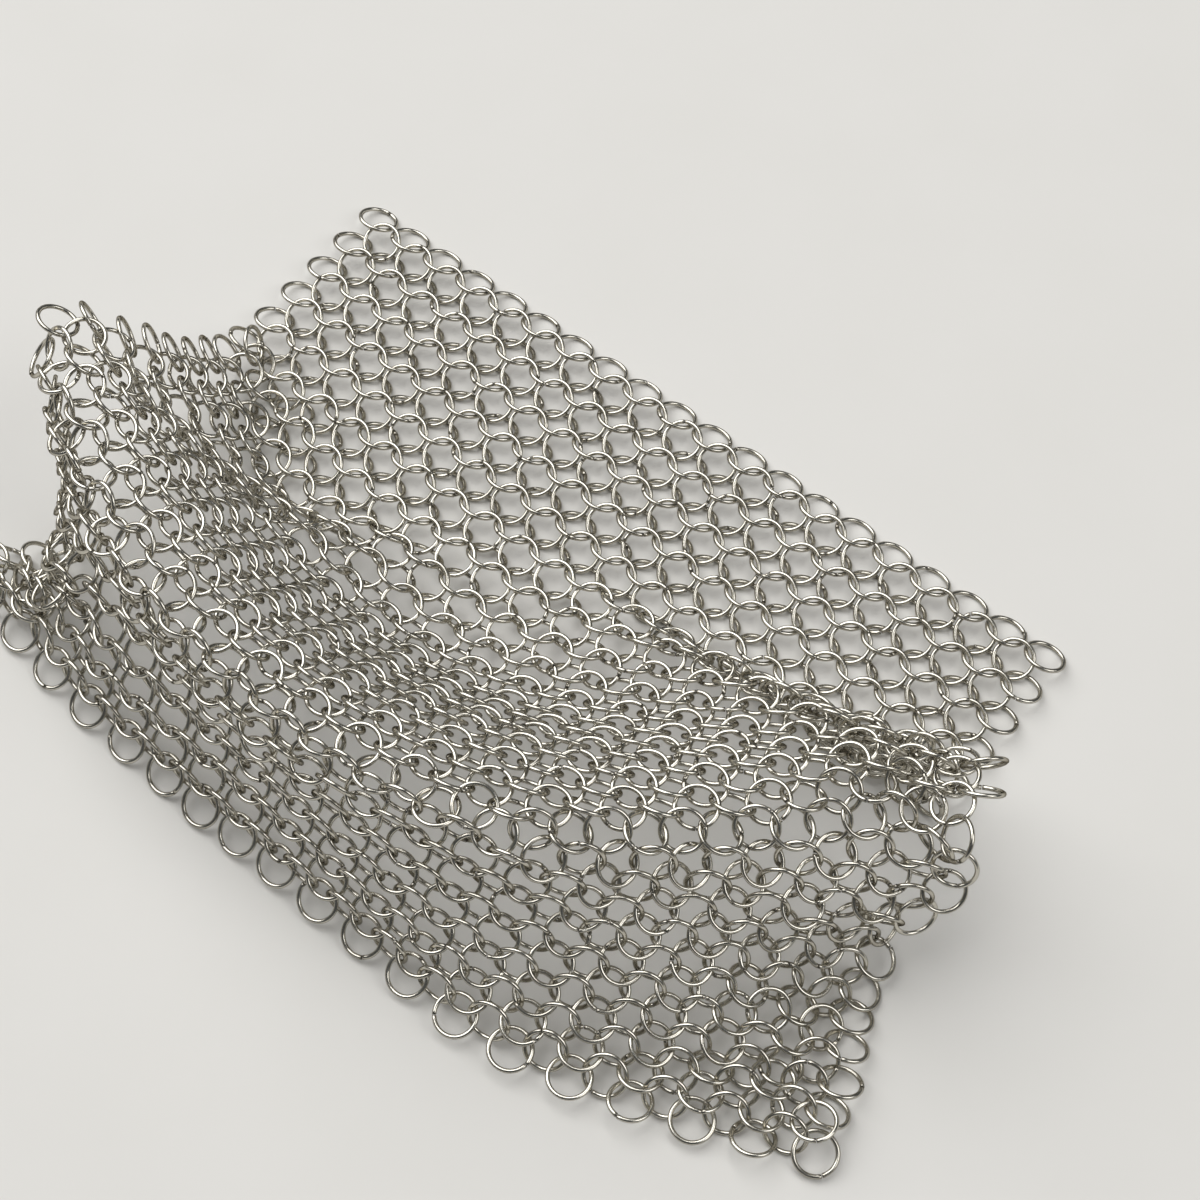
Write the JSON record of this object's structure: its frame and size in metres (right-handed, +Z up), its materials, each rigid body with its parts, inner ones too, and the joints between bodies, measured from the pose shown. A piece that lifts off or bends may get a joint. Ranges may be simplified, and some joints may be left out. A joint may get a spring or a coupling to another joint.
{
  "type": "chainmail pot scrubber",
  "caption": "Limp sheet of linked round steel wire rings for scouring cookware, lying flat at one edge and draped over a curved ridge to a spread hem.",
  "frame": {"origin": "middle of the sheet's box in plan, on the surface it lies on", "axes": "+X along the straight rows at the flat edge, +Y towards that edge, +Z up"},
  "size_m": [0.243, 0.1546, 0.0494],
  "materials": {
    "steel_wire": "bright drawn stainless steel wire"
  },
  "bodies": {
    "draped_sheet": {"ring_row_09": "steel_wire", "ring_row_10": "steel_wire", "ring_row_11": "steel_wire", "ring_row_12": "steel_wire", "ring_row_13": "steel_wire", "ring_row_14": "steel_wire", "ring_row_15": "steel_wire", "ring_row_16": "steel_wire", "ring_row_17": "steel_wire", "ring_row_18": "steel_wire", "ring_row_19": "steel_wire", "ring_row_20": "steel_wire", "ring_row_21": "steel_wire", "ring_row_22": "steel_wire", "ring_row_23": "steel_wire", "ring_row_24": "steel_wire", "ring_row_25": "steel_wire", "ring_row_26": "steel_wire", "ring_row_27": "steel_wire", "ring_row_28": "steel_wire", "ring_row_29": "steel_wire", "ring_row_30": "steel_wire", "ring_row_31": "steel_wire", "ring_row_32": "steel_wire", "ring_row_33": "steel_wire", "ring_row_34": "steel_wire", "ring_row_35": "steel_wire", "ring_row_36": "steel_wire", "ring_row_37": "steel_wire", "ring_row_38": "steel_wire", "ring_row_39": "steel_wire", "ring_row_40": "steel_wire", "ring_row_41": "steel_wire", "ring_row_42": "steel_wire", "ring_row_43": "steel_wire", "ring_row_44": "steel_wire", "ring_row_45": "steel_wire", "ring_row_46": "steel_wire", "ring_row_47": "steel_wire"},
    "folding_row_1": {"ring_row_01": "steel_wire"},
    "folding_row_2": {"ring_row_02": "steel_wire"},
    "folding_row_3": {"ring_row_03": "steel_wire"},
    "folding_row_4": {"ring_row_04": "steel_wire"},
    "folding_row_5": {"ring_row_05": "steel_wire"},
    "folding_row_6": {"ring_row_06": "steel_wire"},
    "folding_row_7": {"ring_row_07": "steel_wire"},
    "folding_row_8": {"ring_row_08": "steel_wire"}
  },
  "joints": [
    {"name": "fold_8_9", "type": "hinge", "parent": "draped_sheet", "child": "folding_row_8", "pos_m": [0, 0.03673, 0.00128], "axis": [1, 0, 0], "range_deg": [0, 35]},
    {"name": "fold_7_8", "type": "hinge", "parent": "folding_row_8", "child": "folding_row_7", "pos_m": [0, 0.04153, 0.00352], "axis": [1, 0, 0], "range_deg": [-50, 0]},
    {"name": "fold_6_7", "type": "hinge", "parent": "folding_row_7", "child": "folding_row_6", "pos_m": [0, 0.04633, 0.00128], "axis": [1, 0, 0], "range_deg": [0, 35]},
    {"name": "fold_5_6", "type": "hinge", "parent": "folding_row_6", "child": "folding_row_5", "pos_m": [0, 0.05113, 0.00352], "axis": [1, 0, 0], "range_deg": [-50, 0]},
    {"name": "fold_4_5", "type": "hinge", "parent": "folding_row_5", "child": "folding_row_4", "pos_m": [0, 0.05593, 0.00128], "axis": [1, 0, 0], "range_deg": [0, 35]},
    {"name": "fold_3_4", "type": "hinge", "parent": "folding_row_4", "child": "folding_row_3", "pos_m": [0, 0.06073, 0.00352], "axis": [1, 0, 0], "range_deg": [-50, 0]},
    {"name": "fold_2_3", "type": "hinge", "parent": "folding_row_3", "child": "folding_row_2", "pos_m": [0, 0.06553, 0.00128], "axis": [1, 0, 0], "range_deg": [0, 35]},
    {"name": "fold_1_2", "type": "hinge", "parent": "folding_row_2", "child": "folding_row_1", "pos_m": [0, 0.07033, 0.00352], "axis": [1, 0, 0], "range_deg": [-50, 0]}
  ]
}
